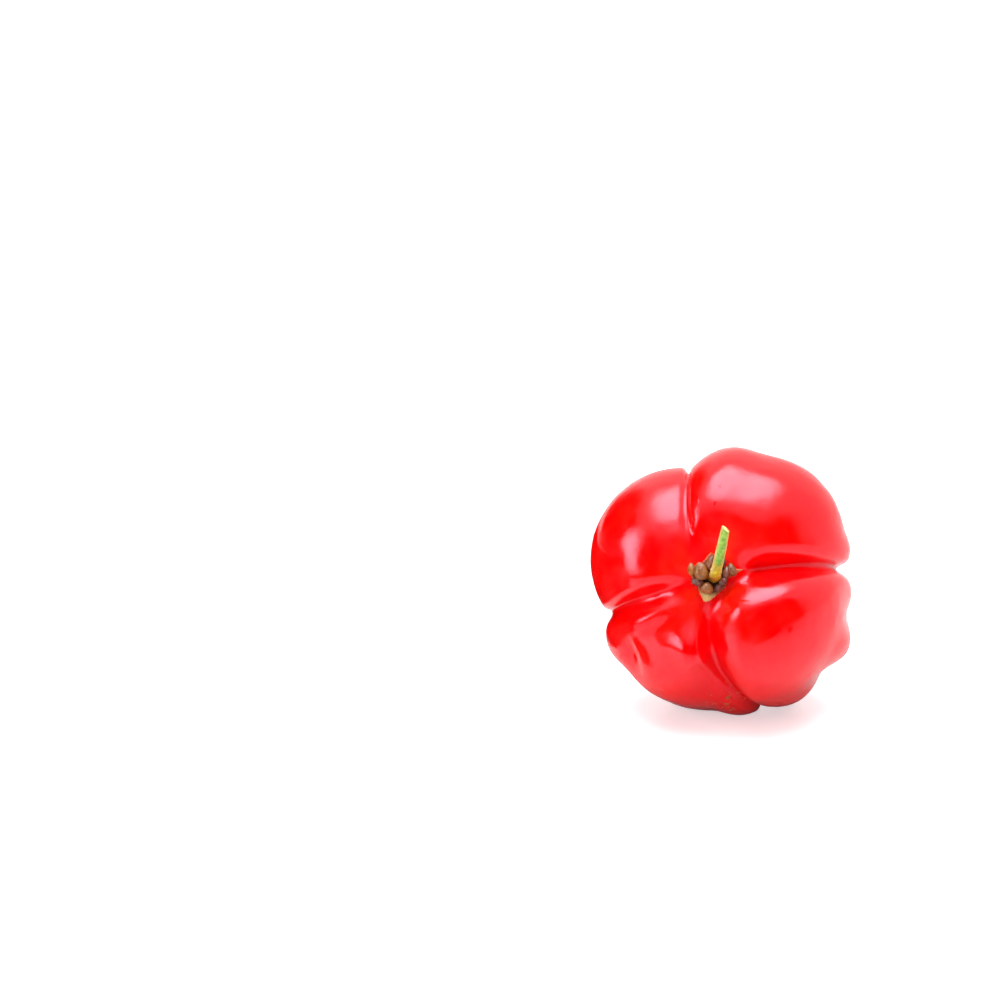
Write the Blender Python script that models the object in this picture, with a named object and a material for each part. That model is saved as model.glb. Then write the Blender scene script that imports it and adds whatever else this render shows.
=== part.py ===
"""An acerola cherry as picked: a four-lobed fruit lying on its side, with its calyx, oil glands and pedicel.

The fruit frame, used for every piece, has its origin inside the fruit on the stem axis. +Z runs out through
the calyx, +X is to the right and +Y up as the stem end is looked at. Sizes are in millimetres until they
meet MM. The whole fruit is then leaned back and set down on the table plane z = 0, flat where it touches.
"""

import math
from typing import NamedTuple

import bmesh
import bpy
import numpy as np
from mathutils import Vector

MM = 0.001

# How the fruit lies
LEAN_DEG = 18.0  # the stem axis points this far above the horizontal
FLAT_DEPTH = 0.6  # how much of the underside is pressed flat by the fruit's own weight
TABLE_SIZE = 60.0
CLEARANCE = 0.3  # between one piece and the next

# Mesh of the fruit
MERIDIANS_OF_LOBES = [25, 24, 22, 19]
PARALLELS = 42
GATHERING = 0.6  # how strongly the meridians crowd towards the grooves


class Groove(NamedTuple):
    """A valley between two lobes. Bearings turn from +X towards +Y, and are met at the widest girth."""

    bearing: float
    curl: float
    curl_power: float
    depth: float
    rim_depth: float
    flank_before: float
    flank_after: float


class Bulge(NamedTuple):
    """One swelling of the fruit: an ellipsoid that holds the origin."""

    bearing: float
    reach: float
    depth: float
    breadth: float
    height: float
    shift: float


class Hollow(NamedTuple):
    """A dip about the stem axis, with a level seat, at the calyx (pole 1) or the blossom end (-1).

    Its wall is steeper, by the given share, towards one bearing.
    """

    pole: int
    depth: float
    width_deg: float
    seat_height: float
    seat_radius: float
    wall_width: float
    steep_bearing: float
    steepness: float


class Sepal(NamedTuple):
    bearing: float
    length: float
    half_angle: float


class Gland(NamedTuple):
    """One oil gland, an egg placed by looking straight at the stem end and turned about that line."""

    x: float
    y: float
    half_width: float
    half_length: float
    half_height: float
    turn: float


class Swell(NamedTuple):
    """A rise, or a dip where it is negative, placed by looking straight at the stem end."""

    x: float
    y: float
    length: float
    width: float
    turn: float
    rise: float


# The grooves in order, and the lobe that follows each one
GROOVES = [
    Groove(4, 10, 1.0, 2.0, 0.5, 1.6, 1.0),
    Groove(102.5, 36, 2.0, 0.15, 0.3, 0.6, 0.6),
    Groove(199, -5, 1.0, 0.8, 0.35, 1.0, 1.8),
    Groove(289, -36, 0.9, 1.0, 0.3, 0.9, 1.5),
]
FLANK_POWER = 1.8  # 1 gives a knife-cut groove and 2 a round one
FLANK_AT_GIRTH = 0.4  # how narrow a flank has become at the widest girth
GIRTH_POWER = 4  # how late on the way out a groove takes on its depth at the rim
FLANK_GIRTH_POWER = 6  # and how late its flanks narrow
POLE_FADE = (0.1, 0.55)  # grooves deepen between these shares of the way from the stem axis to the girth
BACK_CURL = 0.4  # past the girth a groove goes on turning, by this share of its curl
CURL_CHANGE = 0.2

# Each lobe covers one seed, and its smaller ribs stand out nearer the blossom end
LOBES = [
    [
        Bulge(38, 14.4, 11.0, 9.4, 8.6, 0.3),
        Bulge(13, 14.0, 8.7, 4.2, 7.5, -1.0),
        Bulge(76, 13.2, 8.7, 6.0, 8.5, 0.0),
    ],
    [
        Bulge(150, 12.6, 9.1, 9.2, 8.8, -0.3),
    ],
    [
        Bulge(256, 13.2, 9.2, 9.0, 8.9, -0.6),
        Bulge(218, 12.6, 8.0, 5.0, 8.3, -0.6),
        Bulge(283, 14.2, 8.6, 5.3, 8.0, -2.2),
        Bulge(263, 13.3, 8.6, 7.5, 7.0, -3.0),
    ],
    [
        Bulge(322, 14.2, 8.8, 9.2, 9.9, 0.6),
        Bulge(305, 15.1, 8.4, 6.0, 8.0, -2.2),
        Bulge(331, 15.3, 8.8, 4.5, 7.5, -1.0),
        Bulge(353, 13.9, 8.3, 4.4, 7.5, -1.0),
    ],
]
RIB_BLEND = 34.0  # power that blends the ribs of one lobe: higher is crisper

# What stands out of the lobes, and sinks into them, round the stem
SWELLS = [
    Swell(4.6, -1.9, 5.2, 1.5, 28, 0.55),
    Swell(4.2, -7.6, 4.5, 2.8, -20, 0.5),
    Swell(-4.6, -3.1, 2.4, 0.9, 20, 0.45),
    Swell(-7.2, -4.4, 1.6, 1.1, 10, 0.4),
    Swell(-1.5, -6.7, 1.9, 1.7, 0, 1.2),
    Swell(-6.0, -0.6, 4.0, 1.6, 0, 0.5),
    Swell(-4.0, -8.6, 4.5, 2.8, 18, 0.8),
    Swell(-7.9, -8.0, 2.4, 0.7, -72, -0.5),
]
SWELL_FADE = 0.15  # they fade in over this share of the way from the girth's plane to the calyx

# The hollows at the two ends of the stem axis, and the flat seat at the bottom of each
STEM_HOLLOW = Hollow(1, 0.7, 22.0, 8.05, 1.6, 5.0, 318.0, 0.73)
BLOSSOM_HOLLOW = Hollow(-1, 1.4, 24.0, 6.9, 0.4, 1.2, 0.0, 0.0)
SEARCH_DEG = 60.0  # the calyx lies within this angle of the stem axis
SEARCH_STEPS = 24

# Calyx: a disc under the oil glands, with five sepals lying out over the fruit
CALYX_DISC = 1.55
CALYX_THICKNESS = 0.6
CALYX_SPOKES = 90
CALYX_RINGS = 7
CALYX_EDGE = 10  # a higher power gives a squarer edge
SEPAL_POWER = 1.2  # 1 gives a sepal with hollow sides and 2 a round one
SEPALS = [
    Sepal(14, 3.4, 17),
    Sepal(92, 2.7, 24),
    Sepal(166, 2.5, 28),
    Sepal(254, 2.7, 27),
    Sepal(324, 1.8, 26),
]

# Oil glands: a close ring of fleshy beads on the calyx, round the foot of the pedicel
GLANDS = [
    Gland(-1.25, 0.55, 0.64, 0.82, 0.62, 20),
    Gland(-0.15, 1.55, 0.46, 0.72, 0.55, 15),
    Gland(-1.85, 0.95, 0.44, 0.55, 0.55, 20),
    Gland(-1.45, -0.55, 0.56, 0.44, 0.46, 10),
    Gland(-0.5, -1.3, 0.57, 0.54, 0.56, 0),
    Gland(0.75, -1.25, 0.50, 0.36, 0.42, 25),
    Gland(1.6, -0.35, 0.34, 0.52, 0.44, -30),
    Gland(1.75, 0.65, 0.38, 0.62, 0.50, 20),
    Gland(0.85, 1.5, 0.40, 0.52, 0.45, -20),
]
GLAND_FOOTINGS = (0.8, 1.0, 1.15)  # where a gland clears the calyx, as shares of its distance from the stem
GLAND_MERIDIANS = 16
GLAND_PARALLELS = 10
GLAND_RING = 1.3
GLAND_RING_THICKNESS = 0.27
GLAND_RING_LIFT = 0.45

# Pedicel: the stalk, rising from the calyx, leaning up and cut across at a slant
PEDICEL_FOOT = (0.25, -0.05)
PEDICEL_TIP = (1.4, 5.1, 13.8)
PEDICEL_RISE = 1.5  # how far it first runs straight out along the stem axis
PEDICEL_LEAN = (0.35, 1.8, 1.5)  # and the last stretch, which points at the tip
PEDICEL_RADII = [0.64, 0.54, 0.50, 0.48, 0.44, 0.39]
PEDICEL_TRIM = 0.7
PEDICEL_CUT_DEG = 42.0
PEDICEL_STEPS = 18


def rays_at(bearing, polar):
    """Unit rays, one a row, for a bearing about the stem axis and an angle from the calyx, in radians."""
    out = np.sin(polar)
    return np.stack([out * np.cos(bearing), out * np.sin(bearing), np.cos(polar)], axis=1)


def ellipsoid_exit(bulge, rays):
    """Distance from the origin, along each ray, to where it leaves the bulge's ellipsoid."""
    bearing = math.radians(bulge.bearing)
    out = np.array([math.cos(bearing), math.sin(bearing), 0.0])
    side = np.array([-out[1], out[0], 0.0])
    scaled = np.stack(
        [rays @ out / bulge.depth, rays @ side / bulge.breadth, rays[:, 2] / bulge.height],
        axis=1,
    )
    centre = np.array([bulge.reach / bulge.depth - 1.0, 0.0, bulge.shift / bulge.height])
    squared = np.einsum("ij,ij->i", scaled, scaled)
    along = scaled @ centre
    return (along + np.sqrt(along**2 - squared * (centre @ centre - 1.0))) / squared


def blended_max(layers, power):
    """A maximum whose corners are rounded, more so for a lower power."""
    return (np.array(layers) ** power).sum(axis=0) ** (1.0 / power)


def groove_bearings(polar):
    """Where each groove has curled to at a polar angle from the calyx."""
    rise = 1.0 - np.degrees(polar) / 90.0
    share = (1.0 + BACK_CURL + (1.0 - BACK_CURL) * np.tanh(rise / CURL_CHANGE)) / 2.0
    return [g.bearing + g.curl * share * np.sign(rise) * np.abs(rise) ** g.curl_power for g in GROOVES]


def passed_groove(bearing, grooves):
    """Which of the grooves each bearing has passed last, and by how many degrees."""
    past = np.array([(bearing - groove) % 360.0 for groove in grooves])
    return past.argmin(axis=0), past.min(axis=0)


def retrace(bearing, start, end):
    """Carry bearings from between the start grooves to the same share of the way between the end grooves."""
    passed, past = passed_groove(bearing, start)
    carried = np.zeros(len(bearing))
    for index in range(len(GROOVES)):
        after = (index + 1) % len(GROOVES)
        stretch = ((end[after] - end[index]) % 360.0) / ((start[after] - start[index]) % 360.0)
        carried = np.where(passed == index, end[index] + past * stretch, carried)
    return carried


def uncurl(rays):
    """Each ray's bearing, turned about the stem axis so that every curling groove keeps its own bearing."""
    bearing = np.degrees(np.arctan2(rays[:, 1], rays[:, 0]))
    curled = groove_bearings(np.arccos(np.clip(rays[:, 2], -1.0, 1.0)))
    return retrace(bearing, curled, [groove.bearing for groove in GROOVES])


def lobe_radius(ribs, bearing, rays):
    """Distance to the skin of one lobe on its own, with the rays turned to the given bearing."""
    turned = rays_at(np.radians(bearing), np.arccos(np.clip(rays[:, 2], -1.0, 1.0)))
    return blended_max([ellipsoid_exit(bulge, turned) for bulge in ribs], RIB_BLEND)


def lobed_radius(rays):
    """Distance to the skin of the four lobes, each falling to its own two grooves."""
    bearing = uncurl(rays)
    passed, past = passed_groove(bearing, [groove.bearing for groove in GROOVES])
    out = np.hypot(rays[:, 0], rays[:, 1])
    floors = []
    for index, groove in enumerate(GROOVES):
        there = np.full(len(rays), float(groove.bearing))
        sides = [lobe_radius(LOBES[index - 1], there, rays), lobe_radius(LOBES[index], there, rays)]
        depth = groove.depth + (groove.rim_depth - groove.depth) * out**GIRTH_POWER
        depth = depth * np.clip((out - POLE_FADE[0]) / (POLE_FADE[1] - POLE_FADE[0]), 0.0, 1.0)
        floors.append(np.minimum(*sides) - depth)
    radius = np.zeros(len(rays))
    for index, ribs in enumerate(LOBES):
        after = (index + 1) % len(GROOVES)
        start, end = GROOVES[index], GROOVES[after]
        wide = (end.bearing - start.bearing) % 360.0
        crown = lobe_radius(ribs, bearing, rays)
        near = np.radians(past) * out * crown + 1e-6
        far = np.radians(np.maximum(wide - past, 0.0)) * out * crown + 1e-6
        floor = (floors[index] * far**2 + floors[after] * near**2) / (near**2 + far**2)
        narrowing = 1.0 + (FLANK_AT_GIRTH - 1.0) * out**FLANK_GIRTH_POWER
        rise = 1.0 - np.exp(-((near / start.flank_after / narrowing) ** FLANK_POWER))
        fall = 1.0 - np.exp(-((far / end.flank_before / narrowing) ** FLANK_POWER))
        radius = np.where(passed == index, floor + (crown - floor) * rise * fall, radius)
    return radius


def sink(rays, radius, hollow):
    """The radius after a round hollow is sunk into it, with a level seat at its bottom."""
    facing = np.clip(hollow.pole * rays[:, 2], 1e-3, 1.0)
    polar = np.degrees(np.arccos(facing))
    sunk = radius - hollow.depth * np.exp(-((polar / hollow.width_deg) ** 2))
    seat = hollow.seat_height / facing
    out = np.hypot(rays[:, 0], rays[:, 1])
    steep = math.radians(hollow.steep_bearing)
    facing_steep = (rays[:, 0] * math.cos(steep) + rays[:, 1] * math.sin(steep)) / np.maximum(out, 1e-9)
    wall_width = hollow.wall_width * (1.0 - hollow.steepness * np.clip(facing_steep, 0.0, 1.0) ** 2)
    wall = np.clip((out * seat - hollow.seat_radius) / wall_width, 0.0, 1.0)
    wall = wall * wall * (3.0 - 2.0 * wall)
    return np.where(hollow.pole * rays[:, 2] > 0.5, seat + (sunk - seat) * wall, radius)


def skin_radius(rays):
    """Distance from the origin to the skin along each unit ray."""
    radius = lobed_radius(rays)
    for swell in SWELLS:
        turn = math.radians(swell.turn)
        x = rays[:, 0] * radius - swell.x
        y = rays[:, 1] * radius - swell.y
        along = (x * math.cos(turn) + y * math.sin(turn)) / swell.length
        across = (y * math.cos(turn) - x * math.sin(turn)) / swell.width
        front = np.clip(rays[:, 2] / SWELL_FADE, 0.0, 1.0)
        radius = radius + front * swell.rise * np.exp(-(along**2) - across**2)
    return sink(rays, sink(rays, radius, STEM_HOLLOW), BLOSSOM_HOLLOW)


def skin_height(x, y):
    """How far the skin stands above the origin's plane at points near the calyx, by halving an angle."""
    x, y = np.atleast_1d(x).astype(float), np.atleast_1d(y).astype(float)
    bearing, out = np.arctan2(y, x), np.hypot(x, y)
    low, high = np.zeros(len(x)), np.full(len(x), math.radians(SEARCH_DEG))
    for _ in range(SEARCH_STEPS):
        polar = (low + high) / 2.0
        radius = skin_radius(rays_at(bearing, polar))
        short = radius * np.sin(polar) < out
        low, high = np.where(short, polar, low), np.where(short, high, polar)
    return radius * np.cos(polar)


def add_material(name, colour, roughness):
    material = bpy.data.materials.new(name)
    material.use_nodes = True
    shader = material.node_tree.nodes["Principled BSDF"]
    shader.inputs["Base Color"].default_value = (*colour, 1.0)
    shader.inputs["Roughness"].default_value = roughness
    shader.inputs["Metallic"].default_value = 0.0
    return material


def add_piece(name, mesh, material, collection, pose):
    piece = bpy.data.objects.new(name, mesh)
    mesh.name = name
    mesh.materials.clear()
    mesh.materials.append(material)
    mesh.shade_smooth()
    piece.parent = pose
    collection.objects.link(piece)
    return piece


def mesh_from(shape):
    mesh = bpy.data.meshes.new("shape")
    bmesh.ops.recalc_face_normals(shape, faces=shape.faces[:])
    shape.to_mesh(mesh)
    shape.free()
    return mesh


def make_fruit_mesh():
    """A sphere whose meridians are led along the grooves and whose points are moved out to the skin."""
    straight = []
    for index, count in enumerate(MERIDIANS_OF_LOBES):
        start = GROOVES[index].bearing
        wide = (GROOVES[(index + 1) % len(GROOVES)].bearing - start) % 360.0
        for step in range(count):
            share = step / count
            gathered = share - GATHERING * math.sin(2.0 * math.pi * share) / (2.0 * math.pi)
            straight.append(start + wide * gathered)
    shape = bmesh.new()
    bmesh.ops.create_uvsphere(shape, u_segments=len(straight), v_segments=PARALLELS, radius=1.0)
    rays = np.array([point.co.normalized() for point in shape.verts])
    meridian = np.round(np.arctan2(rays[:, 1], rays[:, 0]) / (2.0 * math.pi) * len(straight)).astype(int)
    polar = np.arccos(np.clip(rays[:, 2], -1.0, 1.0))
    bearing = np.array(straight)[meridian % len(straight)]
    bearing = np.radians(retrace(bearing, [groove.bearing for groove in GROOVES], groove_bearings(polar)))
    rays = rays_at(bearing, polar)
    for point, ray, radius in zip(shape.verts, rays, skin_radius(rays)):
        point.co = Vector(ray * radius * MM)
    return mesh_from(shape)


def calyx_reach(bearing):
    """How far the calyx runs out at each bearing: the disc, or the pointed sepal that leaves it there."""
    reach = np.full(len(bearing), CALYX_DISC)
    for sepal in SEPALS:
        away = np.abs((bearing - sepal.bearing + 180.0) % 360.0 - 180.0) / sepal.half_angle
        reach = np.maximum(reach, CALYX_DISC + (sepal.length - CALYX_DISC) * np.exp(-(away**SEPAL_POWER)))
    return reach


def make_calyx_mesh():
    """A sphere pressed into a thick star-shaped leaf that follows the skin."""
    shape = bmesh.new()
    bmesh.ops.create_uvsphere(shape, u_segments=CALYX_SPOKES, v_segments=2 * CALYX_RINGS, radius=1.0)
    rays = np.array([point.co.normalized() for point in shape.verts])
    bearing = np.arctan2(rays[:, 1], rays[:, 0])
    above = np.arcsin(np.clip(rays[:, 2], -1.0, 1.0)) / (np.pi / 2.0)
    out = 1.0 - np.abs(above)
    reach = out * calyx_reach(np.degrees(bearing))
    x = reach * np.cos(bearing)
    y = reach * np.sin(bearing)
    swell = np.sign(above) * np.sqrt(1.0 - out**CALYX_EDGE)
    height = skin_height(x, y) + CLEARANCE + CALYX_THICKNESS * (1.0 + swell) / 2.0
    for point, place in zip(shape.verts, np.stack([x, y, height], axis=1)):
        point.co = Vector(place * MM)
    return mesh_from(shape)


def calyx_top(x, y):
    return skin_height(x, y) + CLEARANCE + CALYX_THICKNESS


def make_glands_mesh():
    """A bead for each gland, joined to one another through a low ring round the pedicel."""
    places = np.array([(gland.x, gland.y) for gland in GLANDS])
    footings = [calyx_top(*(places * spread).T) for spread in GLAND_FOOTINGS]
    levels = np.max(footings, axis=0) + CLEARANCE
    beads = bpy.data.collections.new("gland_beads")
    bpy.context.scene.collection.children.link(beads)
    for index, (gland, level) in enumerate(zip(GLANDS, levels)):
        shape = bmesh.new()
        bmesh.ops.create_uvsphere(shape, u_segments=GLAND_MERIDIANS, v_segments=GLAND_PARALLELS, radius=1.0)
        bead = bpy.data.objects.new(f"bead_{index}", mesh_from(shape))
        bead.scale = (gland.half_width * MM, gland.half_length * MM, gland.half_height * MM)
        bead.rotation_euler = (0.0, 0.0, math.radians(gland.turn))
        bead.location = (gland.x * MM, gland.y * MM, (level + gland.half_height) * MM)
        beads.objects.link(bead)
    bpy.ops.mesh.primitive_torus_add(
        major_segments=40,
        minor_segments=8,
        major_radius=GLAND_RING * MM,
        minor_radius=GLAND_RING_THICKNESS * MM,
        location=(0.0, 0.0, (min(levels) + GLAND_RING_LIFT) * MM),
    )
    ring = bpy.context.object
    union = ring.modifiers.new("beads", "BOOLEAN")
    union.operation = "UNION"
    union.operand_type = "COLLECTION"
    union.collection = beads
    bpy.context.view_layer.update()
    joined = bpy.data.meshes.new_from_object(ring.evaluated_get(bpy.context.evaluated_depsgraph_get()))
    joined.transform(ring.matrix_world)
    for bead in list(beads.objects):
        bpy.data.objects.remove(bead)
    bpy.data.collections.remove(beads)
    bpy.data.objects.remove(ring)
    return joined


def pedicel_point(along):
    """A point of the pedicel's centre line, a cubic curve from foot to tip."""
    foot = Vector((*PEDICEL_FOOT, float(calyx_top(*PEDICEL_FOOT)[0]) + CLEARANCE))
    tip = Vector(PEDICEL_TIP)
    handles = [foot, foot + Vector((0.0, 0.0, PEDICEL_RISE)), tip - Vector(PEDICEL_LEAN), tip]
    back = 1.0 - along
    weights = [back**3, 3.0 * back**2 * along, 3.0 * back * along**2, along**3]
    return sum((handle * weight for handle, weight in zip(handles, weights)), Vector())


def make_pedicel_mesh():
    """A tapering stalk along its curved centre line, its free end cut at a slant."""
    line = bpy.data.curves.new("pedicel_line", "CURVE")
    line.dimensions = "3D"
    line.bevel_depth = MM
    line.bevel_resolution = 4
    line.use_fill_caps = True
    spline = line.splines.new("POLY")
    spline.points.add(PEDICEL_STEPS)
    stations = np.linspace(0.0, 1.0, len(PEDICEL_RADII))
    for step in range(PEDICEL_STEPS + 1):
        along = step / PEDICEL_STEPS
        spline.points[step].co = (*(pedicel_point(along) * MM), 1.0)
        spline.points[step].radius = float(np.interp(along, stations, PEDICEL_RADII))
    stalk = bpy.data.objects.new("pedicel_line", line)
    bpy.context.scene.collection.objects.link(stalk)
    bpy.context.view_layer.update()
    mesh = bpy.data.meshes.new_from_object(stalk.evaluated_get(bpy.context.evaluated_depsgraph_get()))
    bpy.data.objects.remove(stalk)
    shape = bmesh.new()
    shape.from_mesh(mesh)
    bmesh.ops.remove_doubles(shape, verts=shape.verts[:], dist=0.001 * MM)
    slant = math.radians(PEDICEL_CUT_DEG)
    run = Vector(PEDICEL_LEAN).normalized()
    cut = bmesh.ops.bisect_plane(
        shape,
        geom=shape.verts[:] + shape.edges[:] + shape.faces[:],
        plane_co=(Vector(PEDICEL_TIP) - run * PEDICEL_TRIM) * MM,
        plane_no=run * math.cos(slant) + Vector((math.sin(slant), 0.0, 0.0)),
        clear_outer=True,
    )
    rim = [item for item in cut["geom_cut"] if isinstance(item, bmesh.types.BMEdge)]
    bmesh.ops.contextual_create(shape, geom=rim)
    return mesh_from(shape)


def settle(pose, pieces):
    """Set the leaned fruit down so that the table plane cuts FLAT_DEPTH into it, centred on its own box."""
    bpy.context.view_layer.update()
    points = np.array([piece.matrix_world @ point.co for piece in pieces for point in piece.data.vertices])
    low, high = points.min(axis=0), points.max(axis=0)
    middle = (low + high) / 2.0
    pose.location = (-middle[0], -middle[1], -low[2] - FLAT_DEPTH * MM)


def flatten_underside(fruit):
    """Cut the fruit level with the table plane."""
    cutters = bpy.data.collections.new("cutters")
    bpy.context.scene.collection.children.link(cutters)
    shape = bmesh.new()
    bmesh.ops.create_cube(shape, size=TABLE_SIZE * MM)
    table = bpy.data.objects.new("table_cutter", mesh_from(shape))
    table.location = (0.0, 0.0, -TABLE_SIZE / 2.0 * MM)
    table.hide_render = True
    table.display_type = "WIRE"
    cutters.objects.link(table)
    cut = fruit.modifiers.new("rest_on_table", "BOOLEAN")
    cut.operation = "DIFFERENCE"
    cut.object = table


def main():
    for old in list(bpy.data.objects):
        bpy.data.objects.remove(old)
    parts = bpy.data.collections.new("acerola")
    bpy.context.scene.collection.children.link(parts)
    pose = bpy.data.objects.new("fruit_pose", None)
    pose.rotation_euler = (math.radians(90.0 - LEAN_DEG), 0.0, 0.0)
    parts.objects.link(pose)
    skin = add_material("fruit_skin", (0.80, 0.005, 0.01), 0.18)
    papery = add_material("dry_sepal", (0.72, 0.52, 0.24), 0.7)
    oily = add_material("oil_gland", (0.20, 0.07, 0.03), 0.35)
    green = add_material("green_stalk", (0.30, 0.55, 0.10), 0.5)
    fruit = add_piece("fruit", make_fruit_mesh(), skin, parts, pose)
    calyx = add_piece("calyx", make_calyx_mesh(), papery, parts, pose)
    glands = add_piece("oil_glands", make_glands_mesh(), oily, parts, pose)
    pedicel = add_piece("pedicel", make_pedicel_mesh(), green, parts, pose)
    settle(pose, [fruit, calyx, glands, pedicel])
    flatten_underside(fruit)


main()
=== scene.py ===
"""Looks of an acerola: a glossy, four-lobed red fruit that lies on its side, with its calyx and pedicel."""

import math
from typing import NamedTuple

import bpy
import numpy as np
from mathutils import Euler, Matrix, Vector, noise


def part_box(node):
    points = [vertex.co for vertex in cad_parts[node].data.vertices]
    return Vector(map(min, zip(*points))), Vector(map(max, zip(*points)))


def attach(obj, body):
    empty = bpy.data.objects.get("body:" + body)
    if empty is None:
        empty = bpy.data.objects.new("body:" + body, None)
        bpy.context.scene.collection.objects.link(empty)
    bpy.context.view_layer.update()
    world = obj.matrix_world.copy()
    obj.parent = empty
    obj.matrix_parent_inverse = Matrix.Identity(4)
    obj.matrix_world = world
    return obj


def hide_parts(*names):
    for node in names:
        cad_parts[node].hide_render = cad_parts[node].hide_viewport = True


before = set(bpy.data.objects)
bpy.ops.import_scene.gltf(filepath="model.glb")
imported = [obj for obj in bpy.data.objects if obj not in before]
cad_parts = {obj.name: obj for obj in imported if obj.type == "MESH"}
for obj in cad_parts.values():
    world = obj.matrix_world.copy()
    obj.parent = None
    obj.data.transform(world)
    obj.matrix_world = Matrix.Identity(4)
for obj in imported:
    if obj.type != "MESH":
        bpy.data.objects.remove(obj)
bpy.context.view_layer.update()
bpy.context.scene.view_settings.view_transform = "Standard"
bpy.ops.object.select_all(action="DESELECT")

# The fruit. Skin, flesh and seeds grew as one body. Four lobes bulge between grooves that curl about the
# stem axis, and meet in a shallow hollow at each end. A sphere's meridians are led along the grooves, and
# its points are moved out to the skin. Sizes are in millimetres until they meet MM, in the fruit's own
# frame: +Z runs out through the calyx, +X to the right and +Y up as the stem end is looked at.
MM = 0.001
LEAN_DEG = 18.0
MERIDIANS_OF_LOBES = [116, 112, 102, 88]
PARALLELS = 220
GATHERING = 0.6  # how strongly the meridians crowd towards the grooves
WAVE_HEIGHT, WAVE_LENGTH = 0.05, 5.0  # the slow unevenness of the flesh under the skin
RIPPLE_HEIGHT, RIPPLE_LENGTH = 0.024, 1.7  # and the quick one
RIPPLE_OFFSET = 40.0  # keeps the two from lining up
# how far the painted shade in the grooves spreads to each side, in millimetres
GROOVE_SHADE_WIDTH = 1.2


class Groove(NamedTuple):
    """A valley between two lobes. Bearings turn from +X towards +Y, and are met at the widest girth."""

    bearing: float
    curl: float
    curl_power: float
    depth: float
    rim_depth: float
    flank_before: float
    flank_after: float


class Bulge(NamedTuple):
    """One swelling of the fruit: an ellipsoid that holds the origin."""

    bearing: float
    reach: float
    depth: float
    breadth: float
    height: float
    shift: float


class Hollow(NamedTuple):
    """A dip about the stem axis, with a level seat, at the calyx (pole 1) or the blossom end (-1).

    Its wall is steeper, by the given share, towards one bearing.
    """

    pole: int
    depth: float
    width_deg: float
    seat_height: float
    seat_radius: float
    wall_width: float
    steep_bearing: float
    steepness: float


class Swell(NamedTuple):
    """A rise, or a dip where it is negative, placed by looking straight at the stem end."""

    x: float
    y: float
    length: float
    width: float
    turn: float
    rise: float


GROOVES = [
    Groove(4, 10, 1.0, 2.0, 0.5, 1.6, 1.0),
    Groove(102.5, 36, 2.0, 0.15, 0.3, 0.6, 0.6),
    Groove(199, -5, 1.0, 0.8, 0.35, 1.0, 1.8),
    Groove(289, -36, 0.9, 1.0, 0.3, 0.9, 1.5),
]
FLANK_POWER = 1.8  # 1 gives a knife-cut groove and 2 a round one
FLANK_AT_GIRTH = 0.4  # how narrow a flank has become at the widest girth
GIRTH_POWER = 4  # how late on the way out a groove takes on its depth at the rim
FLANK_GIRTH_POWER = 6  # and how late its flanks narrow
POLE_FADE = (0.1, 0.55)  # grooves deepen between these shares of the way from the stem axis to the girth
BACK_CURL = 0.4  # past the girth a groove goes on turning, by this share of its curl
CURL_CHANGE = 0.2
LOBES = [
    [
        Bulge(38, 14.4, 11.0, 9.4, 8.6, 0.3),
        Bulge(13, 14.0, 8.7, 4.2, 7.5, -1.0),
        Bulge(76, 13.2, 8.7, 6.0, 8.5, 0.0),
    ],
    [
        Bulge(150, 12.6, 9.1, 9.2, 8.8, -0.3),
    ],
    [
        Bulge(256, 13.2, 9.2, 9.0, 8.9, -0.6),
        Bulge(218, 12.6, 8.0, 5.0, 8.3, -0.6),
        Bulge(283, 14.2, 8.6, 5.3, 8.0, -2.2),
        Bulge(263, 13.3, 8.6, 7.5, 7.0, -3.0),
    ],
    [
        Bulge(322, 14.2, 8.8, 9.2, 9.9, 0.6),
        Bulge(305, 15.1, 8.4, 6.0, 8.0, -2.2),
        Bulge(331, 15.3, 8.8, 4.5, 7.5, -1.0),
        Bulge(353, 13.9, 8.3, 4.4, 7.5, -1.0),
    ],
]
RIB_BLEND = 34.0  # power that blends the ribs of one lobe: higher is crisper
SWELLS = [
    Swell(4.6, -1.9, 5.2, 1.5, 28, 0.55),
    Swell(4.2, -7.6, 4.5, 2.8, -20, 0.5),
    Swell(-4.6, -3.1, 2.4, 0.9, 20, 0.45),
    Swell(-7.2, -4.4, 1.6, 1.1, 10, 0.4),
    Swell(-1.5, -6.7, 1.9, 1.7, 0, 1.2),
    Swell(-6.0, -0.6, 4.0, 1.6, 0, 0.5),
    Swell(-4.0, -8.6, 4.5, 2.8, 18, 0.8),
    Swell(-7.9, -8.0, 2.4, 0.7, -72, -0.5),
]
SWELL_FADE = 0.15  # they fade in over this share of the way from the girth's plane to the calyx
STEM_HOLLOW = Hollow(1, 0.7, 22.0, 8.05, 1.6, 5.0, 318.0, 0.73)
BLOSSOM_HOLLOW = Hollow(-1, 1.4, 24.0, 6.9, 0.4, 1.2, 0.0, 0.0)
SEARCH_DEG = 60.0  # the calyx lies within this angle of the stem axis
SEARCH_STEPS = 24
HOLLOW_EDGE = 0.5  # a hollow acts only on rays that face its pole by more than this


def rays_at(bearing, polar):
    """Unit rays, one a row, for a bearing about the stem axis and an angle from the calyx, in radians."""
    out = np.sin(polar)
    return np.stack([out * np.cos(bearing), out * np.sin(bearing), np.cos(polar)], axis=1)


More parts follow.
